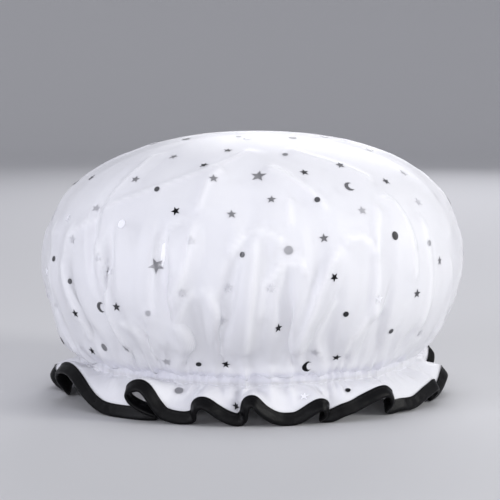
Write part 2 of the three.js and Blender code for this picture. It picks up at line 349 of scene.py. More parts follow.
def satinMaterial():
    material, tree, shader = newMaterial("black_satin", (0.002, 0.002, 0.0025), Specular_IOR_Level=0.13)
    cut = coordinate(tree, "UV")
    bias = (0, 0, math.radians(45))  # as the tape is cut
    turned = addNode(tree, "Mapping", {"Vector": cut, "Rotation": bias})
    threads = placeGroup(tree, "weave", turned.outputs[0], Pitch=0.0005)
    tone = placeGroup(tree, "mottle", cut, Scale=160)
    shadeBy(tree, shader, tone, dark=(0.001, 0.001, 0.0012), light=(0.004, 0.004, 0.005),
            roughness=(0.26, 0.42))
    addBump(tree, shader, threads, distance=0.00008, strength=0.5)
    return material


def threadMaterial(name, dark, light):
    material, tree, shader = newMaterial(name, light, Specular_IOR_Level=0.25)
    tone = placeGroup(tree, "mottle", coordinate(tree, "Object"), Scale=900)
    shadeBy(tree, shader, tone, dark, light, roughness=(0.5, 0.75))
    addBump(tree, shader, tone, distance=0.0001, strength=0.6)
    return material


def elasticMaterial():
    material, tree, shader = newMaterial("braided_elastic", (0.85, 0.85, 0.88), Sheen_Weight=0.2)
    threads = placeGroup(tree, "weave", coordinate(tree, "UV"), Pitch=0.0012)
    # Painted shade: darker where the threads dip into the braid's grooves, and a lilac tint that stands in
    # for the lilac shade of the gathers; the elastic itself is white
    shadeBy(tree, shader, threads, dark=(0.60, 0.60, 0.78), light=(0.82, 0.82, 0.93), roughness=(0.85, 0.6),
            span=(0, 1))
    addBump(tree, shader, threads, distance=0.0002, strength=0.8)
    return material


# Foil turns from black to bright, and from metal to plain, as its tone rises
def foilMaterial():
    material, tree, shader = newMaterial("silver_foil", (0.4, 0.4, 0.42), Specular_IOR_Level=0.15)
    # A low tone is partly the print's own black and grey, and partly a painted reflection: the foil darkened
    # as if it mirrored dark surroundings
    tone = attribute(tree, "tone")
    speck = placeGroup(tree, "mottle", coordinate(tree, "Object"), Scale=700)
    depth = mathNode(tree, "POWER", tone, 1.7)
    feed(shader, {"Base Color": mixColours(tree, depth, (0.004, 0.004, 0.005), (0.95, 0.95, 1.0)),
                  "Metallic": mapRange(tree, tone, 0.5, 0.95, 0.55, 0.05),
                  "Roughness": mapRange(tree, speck, 0.3, 0.7, 0.3, 0.5)})
    return material


materials = {
    "organza": organzaMaterial(),
    "film": filmMaterial(),
    "satin": satinMaterial(),
    "whiteThread": threadMaterial("white_thread", (0.62, 0.62, 0.70), (0.80, 0.80, 0.86)),
    "blackThread": threadMaterial("black_thread", (0.004, 0.004, 0.005), (0.015, 0.015, 0.018)),
    "elastic": elasticMaterial(),
    "foil": foilMaterial(),
}
print("materials:", ", ".join(materials))


# Crown: the meridian that both cloth layers share

crown = {
    "shoulder": 2.6,
    "underside": 1.5,
    "widest": 70.3,
    "liningInside": 4.6,  # how far inside the cover the lining's widest ring stands
    "liningUnder": 2.2,  # and its top
    "casingEase": 0.6,  # the cloth's turn at each seam
    "hang": 3.0,  # mm that the crown hangs over the upper seam
    "steps": 2001,
}


# Superellipse quarter from the top to the widest ring, then another one under it to the waist
def crownMeridian(radius, top, waist):
    tilt = np.radians(np.linspace(90, -90, crown["steps"]))
    across, along = np.cos(tilt).clip(0), np.abs(np.sin(tilt))
    above, below = 2 / crown["shoulder"], 2 / crown["underside"]
    bottom = build["upperRow"] + crown["casingEase"] - crown["hang"]
    out = np.where(tilt >= 0, radius * across ** above, waist + (radius - waist) * across ** below)
    height = np.where(tilt >= 0, crown["widest"] + (top - crown["widest"]) * along ** above,
                      crown["widest"] - (crown["widest"] - bottom) * along ** below)
    run = np.concatenate([[0], np.cumsum(np.hypot(np.diff(out), np.diff(height)))])
    return {"out": out, "height": height, "run": run}


# Reach of a meridian from the middle of the widest ring, by the tilt above level
def reachTable(meridian):
    up = meridian["height"] - crown["widest"]
    return np.arctan2(up, meridian["out"])[::-1], np.hypot(meridian["out"], up)[::-1]


# Gathers: narrow ridges that run from the crown over the casing into the ruffle. Each count has its height
# and its reach up the crown in mm, and fades down the ruffle as a power of the way left
gathering = {
    "rows": [
        {"count": 113, "high": 1.0, "up": 9, "fade": 3.0},
        {"count": 71, "high": 1.7, "up": 17, "fade": 2.0},
        {"count": 41, "high": 2.1, "up": 34, "fade": 1.2},
    ],
    "stand": 2.6,  # mm that the middle of the gathers stands out from the waist
    "pinch": 0.9,  # share of their height that is left under a seam
    "opens": 4,  # mm above the seam where they have all of it
    "wander": 0.6,  # mm that the seams stray up and down
    "drift": 1.1,  # radians that the ridges stray from even spacing
    "blunt": 0.17, "foot": 1.015, "span": 0.845, "power": 1.4,  # a ridge's section
    "mean": 0.8, "vary": 0.45, "fullSum": 1.7,  # share of the height and reach that is met round the cap
    "shares": (0.2, 1.3),  # least and most of it
    "shortest": 3,  # mm that a gather reaches up at least
    "fadePower": 1.4,
    "driftWaves": range(1, 12), "shareWaves": (5, 9, 14), "reachWaves": (9, 15, 23),  # times round the cap
    "wanderWaves": (7, 17, 31, 53),
    "seed": 11,
}
coverLine = crownMeridian(build["crownRadius"], build["crownTop"], build["coverWaist"] + gathering["stand"])
liningLine = crownMeridian(build["crownRadius"] - crown["liningInside"],
                           build["crownTop"] - crown["liningUnder"], build["liningWaist"])
print("meridian of the cover", round(coverLine["run"][-1]), "mm")


# Rim of the ruffle: the middle line of its binding, as angle in degrees from the front, radius and height
# in mm. The front follows the photograph; the rest repeats one leaning flute
rim = {
    "seen": [
        (-107, 105.2, 3.4), (-103, 107.3, 5.2), (-99.5, 109.3, 7.8), (-96, 110.4, 9.4), (-92.8, 109.6, 8.2),
        (-90.8, 107.2, 5.6), (-89, 104.2, 3.9), (-86, 101.8, 3.4), (-81.5, 100.4, 3.3), (-78.8, 100.8, 4.3),
        (-77, 103.2, 7.6), (-76, 106, 11.9), (-73.6, 107.4, 15.9), (-70, 107.4, 18.3), (-65.5, 106.6, 19.2),
        (-60.2, 106, 16.6), (-54, 106, 10.0), (-47, 106, 4.4), (-41.2, 106, 3.3), (-35.6, 105.5, 3.3),
        (-30.3, 104.5, 3.4),
        (-27.4, 102.8, 3.9), (-29, 104.8, 5.6), (-32, 107.3, 8.2), (-34.3, 109, 11.6), (-34.6, 110, 15.3),
        (-32.4, 110.5, 18.2), (-30, 110.5, 18.8), (-28, 110.5, 16.4), (-26.6, 110, 12.4), (-25.2, 109, 8.4),
        (-23.6, 107.8, 5.2), (-19.7, 106.5, 3.4), (-17.3, 105.5, 3.3), (-15.7, 105.6, 4.6), (-15.1, 107, 7.8),
        (-14.1, 108.5, 10.9), (-12.3, 109, 11.9), (-10.1, 109, 9.9), (-8.1, 108, 7.1), (-5.4, 107, 4.4),
        (-2.9, 105.8, 3.3), (-1.6, 106, 4.9), (-1.1, 107.5, 8.8), (-0.4, 108.5, 12.2), (1.1, 109, 13.1),
        (2.9, 109, 10.0), (5.1, 108, 6.4), (7.9, 107, 3.9), (10.7, 106.3, 3.3), (13.4, 106.8, 4.0),
        (15.8, 108, 6.7), (17.9, 109, 9.3), (19.7, 109.5, 10.4), (21.2, 109, 8.6), (21.4, 106.5, 5.4),
        (20.8, 103.8, 3.7), (22.4, 103.6, 3.3), (24.2, 105, 3.9), (26.5, 106, 5.8), (29.7, 106.5, 7.4),
        (33.2, 107, 10.0), (36.2, 108, 12.2), (38.7, 109, 13.7), (40.8, 109.5, 13.6), (42.9, 108.5, 10.8),
        (43.8, 106, 7.1), (43.5, 103.8, 4.4), (45.4, 103.6, 3.4), (47.8, 104.8, 4.2), (51.1, 106, 4.2),
        (54.9, 106.5, 4.4), (59.8, 107, 7.0), (64.4, 108, 9.2), (67.1, 108.5, 10.1), (69.4, 107.5, 7.9),
        (69.6, 105.2, 5.0), (69.4, 103.8, 3.6), (71.6, 104, 3.4), (75.5, 106, 5.5), (79.5, 107.5, 9.5),
        (83.5, 108.2, 12.2), (87, 107.6, 11.0), (89.5, 106, 6.8), (91.5, 104.6, 3.8),
    ],
    # crests out of sight: angle, lift, and whether each leans right (1) or left (-1)
    "hidden": [
        (109, 17, -1), (132, 14, 1), (155, 18, -1), (178, 14, -1), (200, 17, 1), (222, 13, 1), (243, 16, -1),
    ],
    # one flute that leans to the right: mm along the rim from its crest, radius, share of its lift
    "flute": [
        (-15, 105.5, 0), (-9.5, 106.5, 0.2), (-5, 108, 0.62), (-1.2, 109.2, 0.95), (1.6, 109.6, 1),
        (4.4, 108.6, 0.72), (4.6, 106.2, 0.3), (3.2, 104, 0.06), (6.5, 103.8, 0), (11, 105, 0.03),
    ],
    "low": 3.3,
    "droop": 65,  # degrees below level that the tape's fold points on the table
    "crestDroop": 36,  # and on a crest
    "crestRise": 11,  # mm above the table at which it is a crest's
    "hang": 0.7, "upright": 0.3,  # shares of the two ways that the fold points
    "radius": 105,
}


# Control points of the whole rim: the seen ones, then each hidden crest's flute, mirrored where it leans left
def rimKnots():
    knots = list(rim["seen"])
    for at, lift, lean in rim["hidden"]:
        flute = np.array(rim["flute"])
        if lean < 0:
            flute = flute[::-1] * (-1, 1, 1)
        degrees = at + np.degrees(flute[:, 0] / rim["radius"])
        knots += zip(degrees, flute[:, 1], rim["low"] + (lift - rim["low"]) * flute[:, 2])
    knots = np.array(knots)
    return around(np.radians(knots[:, 0]), knots[:, 1], knots[:, 2])


# Closed cubic through the knots, on the square roots of their chords: the second derivatives solve one cyclic
# system. It is read back at even steps of its length
def closedSpline(knots, count, stepsEach=40):
    ahead = np.roll(knots, -1, axis=0)
    step = np.sqrt(np.linalg.norm(ahead - knots, axis=1))
    index = np.arange(len(knots))
    system = np.zeros((len(knots), len(knots)))
    system[index, index] = 2 * (step + np.roll(step, 1))
    system[index, (index + 1) % len(knots)] = step
    system[index, index - 1] = np.roll(step, 1)
    slope = (ahead - knots) / step[:, None]
    bend = np.linalg.solve(system, 6 * (slope - np.roll(slope, 1, axis=0)))
    share = np.linspace(0, 1, stepsEach, endpoint=False)[None, :, None]
    rest = 1 - share
    curve = knots[:, None] * rest + ahead[:, None] * share + step[:, None, None] ** 2 / 6 * (
        (rest ** 3 - rest) * bend[:, None] + (share ** 3 - share) * np.roll(bend, -1, axis=0)[:, None])
    curve = curve.reshape(-1, 3)
    curve = np.concatenate([curve, curve[:1]])
    length = runAlong(curve)
    return readAlong(np.linspace(0, length[-1], count, endpoint=False), length, curve), length[-1]


cloth = {
    "columns": 720,
    "crownRows": 85,  # one more than a multiple of four, for the coarse steps of the settling
    "casingRows": 8,
    "ruffleRows": 26,
    "middle": 3,  # mm from the middle of the crown to the first ring
    "flatTop": 18,  # mm of the crown round that ring which the folds leave out
    "apart": 0.35,  # mm of each layer from the ruffle's middle surface
    "tapeHalf": 3.4,  # half of the tape's width
}
rimLine, rimLength = closedSpline(rimKnots(), 2 * cloth["columns"])
print("rim", round(rimLength), "mm long")


# Unit vectors square to a line, what runs along it taken out
def squareTo(along, vectors):
    return unit(vectors - (vectors * along).sum(-1, keepdims=True) * along)


# Which way the tape's fold points: partly the drooping direction, kept square to the rim, and partly the
# direction square to the rim in the upright plane
def foldWay(line):
    along = unit(np.roll(line, -1, axis=0) - np.roll(line, 1, axis=0))
    outward = unit(line * (1, 1, 0))
    crest = smoothStep(rim["low"], rim["low"] + rim["crestRise"], line[:, 2:])
    droop = np.radians(rim["droop"] + (rim["crestDroop"] - rim["droop"]) * crest)
    hang = squareTo(along, outward * np.cos(droop) - np.sin(droop) * (0, 0, 1))
    way = unit(rim["hang"] * hang + rim["upright"] * unit(np.cross(along, outward)))
    return squareTo(along, way), along


# Angle at which each column of cloth leaves the casing: the rim's own angle with its loops smoothed away
def waistAngles(line, keep=6):
    angle = np.unwrap(np.arctan2(line[:, 0], -line[:, 1]))
    even = angle[0] + evenAngles(len(line))
    waves = np.fft.rfft(angle - even)
    loose = np.fft.irfft(waves * np.exp(-(np.arange(len(waves)) / keep) ** 2), len(line))
    return even, even + loose


# Slow waves round the cap: sines of the given counts, each at a drawn place, added up
def slowWaves(even, rng, counts):
    return sum(np.sin(j * even + rng.uniform(0, turn)) for j in counts)


# Share of a gather's height or reach that is met round the cap
def unevenShare(even, rng, counts):
    return gathering["mean"] + gathering["vary"] * slowWaves(even, rng, counts) / gathering["fullSum"]


# The ridges of each count, with broad valleys between: spacing and height drift round the cap; mean 0
def gatherWaves(even):
    rng = np.random.default_rng(gathering["seed"])
    waves = []
    for row in gathering["rows"]:
        drift = sum(rng.uniform(-1, 1) * np.sin(j * even + rng.uniform(0, turn))
                    for j in gathering["driftWaves"])
        share = np.clip(unevenShare(even, rng, gathering["shareWaves"]), *gathering["shares"])
        valley = np.hypot(np.sin(row["count"] * even / 2 + gathering["drift"] * drift), gathering["blunt"])
        ridge = np.clip((gathering["foot"] - valley) / gathering["span"], 0, 1) ** gathering["power"]
        waves.append(row["high"] * share * (ridge - ridge.mean()))
    return waves


# Share of the gathers' height by how far they have opened from a seam, from 0 to 1
def pinched(opened):
    return gathering["pinch"] + (1 - gathering["pinch"]) * opened


# How far the seams stray up and down: slow waves round the cap
def seamWander(even):
    rng = np.random.default_rng(gathering["seed"] + 2)
    return gathering["wander"] * slowWaves(even, rng, gathering["wanderWaves"]) / 2


# Ruffle: a cubic from the casing to the tape's inner edge, which leaves partly outwards and ends along the
# tape, then straight into the tape; the gathers open below the seam and fade on the way
ruffle = {
    "leave": 0.36, "arrive": 0.18,  # lengths of the cubic's two arms, as shares of its span
    "outFirst": 0.25,  # share of the way out in its first direction
    "sewn": 0.78,  # share of the rows above the tape
    "open": 0.18,  # share of the way down where the gathers have opened
    "rawEdge": 0.9,  # mm from the tape's fold to the cloth's raw edge
    "liningIn": 0.35,  # share of the way down where the lining comes in to its own casing
}


def ruffleGrid(line, waist, rows):
    even, leaving = waistAngles(line)
    way, _ = foldWay(line)
    start = around(leaving, waist + gathering["stand"] + gathering["pinch"] * sum(gatherWaves(even)),
                   build["lowerRow"] - crown["casingEase"] + seamWander(even))
    seam, end = line - way * cloth["tapeHalf"], line + way * (cloth["tapeHalf"] - ruffle["rawEdge"])
    span = np.linalg.norm(seam - start, axis=-1, keepdims=True)
    straight = unit(seam - start)
    out = unit(straight + ruffle["outFirst"] * (around(leaving, 0 * even + 1, 0 * even) - straight))
    share = np.linspace(0, 1, rows)[:, None, None]
    bend = np.clip(share / ruffle["sewn"], 0, 1)
    rest = 1 - bend
    curve = (rest ** 3 * start + 3 * rest ** 2 * bend * (start + ruffle["leave"] * span * out)
             + 3 * rest * bend ** 2 * (seam - ruffle["arrive"] * span * way) + bend ** 3 * seam)
    grid = curve + (end - seam) * np.clip((share - ruffle["sewn"]) / (1 - ruffle["sewn"]), 0, 1)
    left = rest[..., 0]
    pleat = sum(wave * left ** row["fade"] for wave, row in zip(gatherWaves(even), gathering["rows"]))
    opened = smoothStep(0, ruffle["open"], 1 - left)
    return grid + gridNormals(grid) * (pleat * opened)[..., None], bend[..., 0]


# Settling of a crown: edges are pulled to the cut cloth's lengths over and over, in a coarse grid first and
# then in finer ones, while the cloth stays between an inner and an outer shell and its last ring stays sewn

settling = {
    "strides": (4, 2, 1),  # grid steps between the points of the coarse grid and the finer ones
    "rounds": (220, 140, 110),
    "smallest": (24, 9.5, 5.0),  # mm of the smallest wave that each grid keeps
    "along": 1.0, "compress": 0.9, "shear": 0.08,  # strengths of the edges down, round and aslant
    "stiff": 0.06,  # share of a meridian's bending that each round takes out
    "smoothEvery": 3, "cutOff": 6,  # rounds between two smoothings, and how sharply these end
}


# Both ends of each edge move by half of what its length is over or under its rest
def evenOut(first, second, rest, strength):
    gap = second - first
    length = np.sqrt((gap * gap).sum(-1, keepdims=True))
    move = gap * (0.5 * strength * (1 - rest / np.maximum(length, 1e-6)))
    first += move
    second -= move


# The cloth's reach from the middle, held between the two shells by its tilt
def confine(grid, shells, dent):
    out = np.hypot(grid[..., 0], grid[..., 1])
    up = grid[..., 2] - crown["widest"]
    tilt, reach = np.arctan2(up, out), np.hypot(out, up)
    low = np.interp(tilt, *shells[0])
    high = np.interp(tilt, *shells[1])
    held = np.clip(reach, low - dent, high - dent) / reach
    grid[..., :2] *= held[..., None]
    grid[..., 2] = crown["widest"] + up * held


def relax(grid, ringRest, runRest, ring, shells, dent, level):
    columns = grid.shape[1]
    slant = np.sqrt(runRest * runRest + ((ringRest[1:] + ringRest[:-1]) / 2) ** 2)
    waves = np.arange(columns // 2 + 1)
    limit = np.maximum(ringRest[:, 0, 0] * columns / settling["smallest"][level], 2)[:, None]
    keep = np.exp(-(waves / limit) ** settling["cutOff"])[..., None]
    for step in range(settling["rounds"][level]):
        evenOut(grid[:, 0::2], grid[:, 1::2], ringRest, settling["compress"])
        ahead = np.roll(grid, -1, axis=1)
        evenOut(ahead[:, 0::2], ahead[:, 1::2], ringRest, settling["compress"])
        grid = np.roll(ahead, 1, axis=1)
        for parity in (0, 1):
            upper, lower = grid[parity:-1:2], grid[parity + 1::2]
            count = min(len(upper), len(lower))
            upper, lower = upper[:count], lower[:count]
            evenOut(upper, lower, runRest, settling["along"])
            for side in (-1, 1):
                slid = np.roll(lower, side, axis=1)
                evenOut(upper, slid, slant[parity::2][:count], settling["shear"])
                lower[...] = np.roll(slid, -side, axis=1)
        bow = grid[:-4] - 4 * grid[1:-3] + 6 * grid[2:-2] - 4 * grid[3:-1] + grid[4:]
        grid[2:-2] -= settling["stiff"] * bow
        if (step + 1) % settling["smoothEvery"] == 0:
            grid = np.fft.irfft(np.fft.rfft(grid, axis=1) * keep, columns, axis=1)
        confine(grid, shells, dent)
        grid[-1] = ring
    return grid


# Twice as many rows and columns: columns by their waves, rows by a cubic through four neighbours
def refine(grid):
    wide = np.fft.irfft(np.fft.rfft(grid, axis=1), 2 * grid.shape[1], axis=1) * 2
    padded = np.concatenate([2 * wide[:1] - wide[1:2], wide, 2 * wide[-1:] - wide[-2:-1]])
    between = (9 * (wide[:-1] + wide[1:]) - padded[:-3] - padded[3:]) / 16
    tall = np.empty((2 * len(wide) - 1,) + wide.shape[1:])
    tall[0::2], tall[1::2] = wide, between
    return tall


# Petals above the gathers: foot and tip in degrees from the front, tip height and half width in mm
petals = [
    (-25, -19, 113, 17), (-8, -3, 106, 17), (10, 8, 88, 14), (26, 28, 100, 15),
    (44, 46, 120, 17), (-48, -42, 92, 18), (66, 64, 96, 16), (-72, -66, 84, 19),
    (92, 95, 108, 18), (117, 112, 90, 17), (141, 144, 115, 18), (166, 161, 95, 17),
    (191, 193, 108, 18), (216, 212, 86, 17), (240, 246, 104, 18), (264, 260, 88, 15),
]
petalShape = {
    "closes": 2.4, "round": 0.6,  # powers of the arch that closes towards the tip
    "starts": 0.25,  # share of the height where a petal has risen
    "crowned": 0.3,  # share that it falls towards its sides
    "edge": 2.5,  # mm
}


# A petal stands inside an arch whose half width closes towards its tip, with a soft edge, from 0 to 1
def petalField(angle, height, base):
    total = np.zeros(np.broadcast(angle, height).shape)
    for foot, tip, top, half in petals:
        share = np.clip((height - base) / (top - base), 0, 1)
        middle = np.radians(foot + (tip - foot) * share)
        offset = np.abs(wrapped(angle - middle)) * build["crownRadius"]
        arch = half * (1 - share ** petalShape["closes"]) ** petalShape["round"]
        inside = smoothStep(-petalShape["edge"], petalShape["edge"], arch - offset)
        inside = inside * smoothStep(0, petalShape["starts"], share)
        fallen = petalShape["crowned"] * np.clip(offset / np.maximum(arch, 1), 0, 1) ** 2
        total = np.maximum(total, inside * (1 - fallen))
    return total


# How far the crown lies inside an even one, in mm: its left side, most at the shoulder, its right shoulder
# and its top. Tilts are degrees above level, from the middle of the widest ring
dents = {
    "left": 3.2, "leftStarts": (-40, -12), "leftEnds": (85, 50),
    "leftShoulder": 4.2, "leftTilt": 31, "leftSpread": 21,
    "rightShoulder": 1.8, "rightTilt": 38, "rightSpread": 17,
    "top": 1.5, "topAt": -15, "topSpread": 45, "topStarts": (45, 75),
    "sideways": 1.5,  # power by which a side fades towards front and back
}


def shoulderDent(angle, height, out):
    tilt = np.degrees(np.arctan2(height - crown["widest"], out))
    left, right = (np.clip(side * np.sin(angle), 0, 1) ** dents["sideways"] for side in (-1, 1))
    top = dents["top"] * bell(out * np.sin(angle), dents["topSpread"], dents["topAt"])
    flat = dents["left"] * smoothStep(*dents["leftStarts"], tilt) * smoothStep(*dents["leftEnds"], tilt)
    return (top * smoothStep(*dents["topStarts"], tilt)
            + left * (flat + dents["leftShoulder"] * bell(tilt, dents["leftSpread"], dents["leftTilt"]))
            + right * dents["rightShoulder"] * bell(tilt, dents["rightSpread"], dents["rightTilt"]))


# Where the crown blouses over the casing at its sides, most on the left, and is drawn in at the front and
# back: mm out, as a bump that starts at the seam, is full a little above it and dies away up the crown
blouse = {"mean": 2.0, "left": 0.9, "front": -6.0, "full": 11, "dies": 18, "uneven": 0.22, "wave": 60}


def blousing(angle, rise, seed):
    amount = blouse["mean"] - blouse["left"] * np.sin(angle) + blouse["front"] * np.cos(angle) ** 2
    amount = amount * (1 + blouse["uneven"] * clothNoise(angle, 0, seed, blouse["wave"]))
    bump = smoothStep(0, blouse["full"], rise) * bell(np.clip(rise - blouse["full"], 0, None), blouse["dies"])
    return amount * bump


# Crisp creases of the stiff cover: a ridge's height, the mm over which it falls away on its left and right
# (below and above, where it runs across), and its line in degrees from the front and mm of height
creases = [
    (2.4, 17, 7, [(-15.1, 107), (-15.4, 89), (-17.5, 65), (-19.8, 46), (-21, 34)]),
    (-1.1, 7, 9, [(-16.6, 106), (-21.9, 101), (-24.6, 91), (-26.5, 74), (-27.7, 55)]),
    (2.2, 14, 6, [(0.7, 101), (0.9, 72), (0.9, 47), (0.3, 34)]),
    (1.3, 11, 4, [(-5.4, 85), (-5.4, 92), (-3.1, 98), (0.7, 101.5), (3.5, 99), (8.5, 93)]),
    (1.2, 10, 4, [(3.2, 53), (3.4, 74), (6.8, 82), (11.7, 85), (14.5, 78)]),
    (2.0, 5, 11, [(22.8, 93), (19.8, 84), (17.6, 69), (16.3, 51), (16.2, 35)]),
    (1.5, 11, 4, [(22.8, 93), (25.4, 96), (28.7, 96.7), (31.4, 92.5), (32.5, 84)]),
    (2.0, 3.5, 16, [(37, 113), (33.4, 99), (32.5, 84), (33.1, 63), (34.5, 50)]),
    (1.5, 13, 4, [(37, 113), (40.7, 114.3), (43.7, 111.6), (45.3, 104), (46.3, 90), (46.4, 70)]),
    (1.4, 12, 6, [(-45.7, 107), (-36.5, 114), (-27.9, 120), (-21.5, 124), (-15, 128), (-7, 134),
                  (2.4, 139.6)]),
    (1.4, 9, 9, [(-60.5, 88), (-53, 96), (-45.7, 107), (-42.3, 121), (-41.6, 131), (-44.8, 138)]),
    (1.3, 10, 6, [(3.8, 131), (10.9, 127), (17, 120.7), (19.9, 114), (20.9, 108)]),
    (1.3, 11, 6, [(15.9, 139), (25.2, 134.5), (34.5, 129), (41.7, 121.6)]),
    (1.0, 12, 5, [(10.5, 116), (9.6, 100)]),
    (1.6, 8, 6, [(-42.6, 98), (-39.9, 78), (-37.3, 63), (-35.9, 45), (-35.5, 34)]),
    (1.4, 5, 4, [(-23.3, 56), (-21.4, 48), (-20.1, 38), (-20, 30)]),
    (1.4, 5, 5, [(-34.7, 54), (-31.6, 46), (-29.3, 36), (-29, 30)]),
    (1.3, 4, 9, [(-13, 72), (-15.1, 62), (-17.1, 46)]),
    (1.4, 9, 4, [(-12.8, 72), (-10, 69), (-7.9, 59), (-6.6, 49), (-6.1, 34)]),
    (1.2, 5, 6, [(23.7, 66), (22.6, 60), (21.3, 45), (22, 32)]),
    (1.2, 6, 5, [(33.7, 62), (32.3, 53), (30.1, 41), (30, 32)]),
    (1.2, 7, 9, [(-15.1, 107), (-13.8, 115), (-12.9, 122.6), (-9.1, 129.6)]),
    (1.5, 10, 6, [(-58, 84), (-56, 66), (-54, 48), (-53, 34)]),
    (0.9, 8, 11, [(-70, 104), (-67, 88), (-67, 66), (-68, 44)]),
    (1.4, 12, 6, [(52, 108), (52, 88), (53, 62), (55, 40)]),
]
# The front's creases, and the same round the back: degrees turned, mirrored if -1, and how strongly their
# doubled cloth and painted highlight show
creaseSets = [(0, 1, 1), (122, 1, 0.4), (236, -1, 0.4)]
creasing = {
    "margin": 0.3,  # radians beside a line that it may reach
    "tent": 1.2,  # power of a ridge's fall
    "fadeIn": 0.14, "fadeOut": 0.1,  # shares of the line at its two ends
    "foldAndHighlightWidth": 1.9,  # mm of doubled cloth and painted highlight along it
}


# The nearest part of a line to each point: how far off it is, on which side, and its share of the way along
def nearestOnLine(angle, out, run, spots, runs):
    steps = np.hypot(np.diff(spots) * build["crownRadius"], np.diff(runs))
    before = np.concatenate([[0], np.cumsum(steps)])
    best, side, along = np.full(angle.shape, np.inf), np.zeros(angle.shape), np.zeros(angle.shape)
    for k, step in enumerate(steps):
        ax, ay = (angle - spots[k]) * out, run - runs[k]
        dx, dy = (spots[k + 1] - spots[k]) * out, runs[k + 1] - runs[k]
        share = np.clip((ax * dx + ay * dy) / (dx * dx + dy * dy), 0, 1)
        gap = np.hypot(ax - share * dx, ay - share * dy)
        closer = gap < best
        best = np.where(closer, gap, best)
        side = np.where(closer, dx * ay - dy * ax, side)
        along = np.where(closer, (before[k] + share * step) / before[-1], along)
    return best, side, along


# Height of the creases over a grid, and where their cloth lies double and gets a painted highlight: each
# line's tent falls to nothing over its two widths and fades at the line's ends
def creaseRelief(angle, out, run):
    total, foldsAndHighlights = np.zeros(angle.shape), np.zeros(angle.shape)
    for turned, flip, doubledAndHighlightWeight in creaseSets:
        for high, left, right, line in creases:
            degrees, heights = np.array(line).T
            spots = np.radians(turned + flip * degrees)
            runs = np.interp(-heights, -coverLine["height"], coverLine["run"])
            middle = (spots.max() + spots.min()) / 2
            near = np.abs(wrapped(angle[-1] - middle)) < (spots.max() - spots.min()) / 2 + creasing["margin"]
            away = wrapped(angle[:, near] - middle) + middle
            best, side, along = nearestOnLine(away, out, run, spots, runs)
            tent = np.clip(1 - best / np.where(side * flip > 0, left, right), 0, 1) ** creasing["tent"]
            fade = smoothStep(0, creasing["fadeIn"], along) * smoothStep(0, creasing["fadeOut"], 1 - along)
            total[:, near] += high * tent * fade
            foldsAndHighlights[:, near] = np.maximum(foldsAndHighlights[:, near], doubledAndHighlightWeight * fade * bell(best, creasing["foldAndHighlightWidth"]))
    return total, foldsAndHighlights


# Gathers above the casing: each count fades up the crown over its own reach, which varies round the cap
def gatheredRelief(even, rise):
    rng = np.random.default_rng(gathering["seed"] + 1)
    total = 0
    for wave, row in zip(gatherWaves(even), gathering["rows"]):
        reach = row["up"] * unevenShare(even, rng, gathering["reachWaves"])
        reach = np.maximum(reach, gathering["shortest"])
        total = total + wave * np.exp(-(rise / reach) ** gathering["fadePower"])
    return total * pinched(smoothStep(0, gathering["opens"], rise))


# A crown settled in ever finer grids, as far as the layer asks
def settle(layer, grid, ring, dent, ringRest, runRest):
    coarse = settling["strides"][0]
    grid = grid[::coarse, ::coarse].copy()
    for level, stride in enumerate(settling["strides"]):
        if level <= layer["finest"]:
            grid = relax(grid, (ringRest[::stride] * stride)[..., None], runRest * stride, ring[::stride],
                         layer["shells"], dent[::stride, ::stride], level)
        if stride > 1:
            grid = refine(grid)
    return grid


# Laying out and finishing of a crown, lengths in mm up the cloth from the seam
laying = {
    "leaves": 80,  # over which the columns go back to even spacing
    "seamFull": 0.6, "seamOver": 28,  # extra length round the seam, and how far up it lasts
    "crownFull": 0.05, "crownOver": 110,  # and the same of the crown
    "crumple": 0.5, "crumples": ((0.22, 34), (0.25, 70)),  # mean, and the share and size of two noises
    "petalOut": 0.75, "crumpleOut": 0.5, "deepest": 1.2,  # shares of the depth between petals
    "fromSeam": 25, "fromMiddle": 60,  # over which that depth is reached
    "sewn": 20,  # that keeps to the meridian
    "sideCalm": 0.5, "seamCalm": 12,  # share of the creases that the sides lack, and where they start
}


# How far the cloth starts inside its meridian: the layer's depth between the petals, less where it crumples
def startInset(layer, angle, height, rise, run):
    petal = petalField(angle, height, build["upperRow"])
    crumple = laying["crumple"]
    for step, (share, size) in enumerate(laying["crumples"]):
        crumple = crumple + share * clothNoise(angle, rise, layer["seed"] + step, size)
    between = 1 - laying["petalOut"] * petal - laying["crumpleOut"] * crumple
    inset = layer["depth"] * np.clip(between, 0, laying["deepest"])
    return inset * smoothStep(0, laying["fromSeam"], rise) * smoothStep(0, laying["fromMiddle"], run)


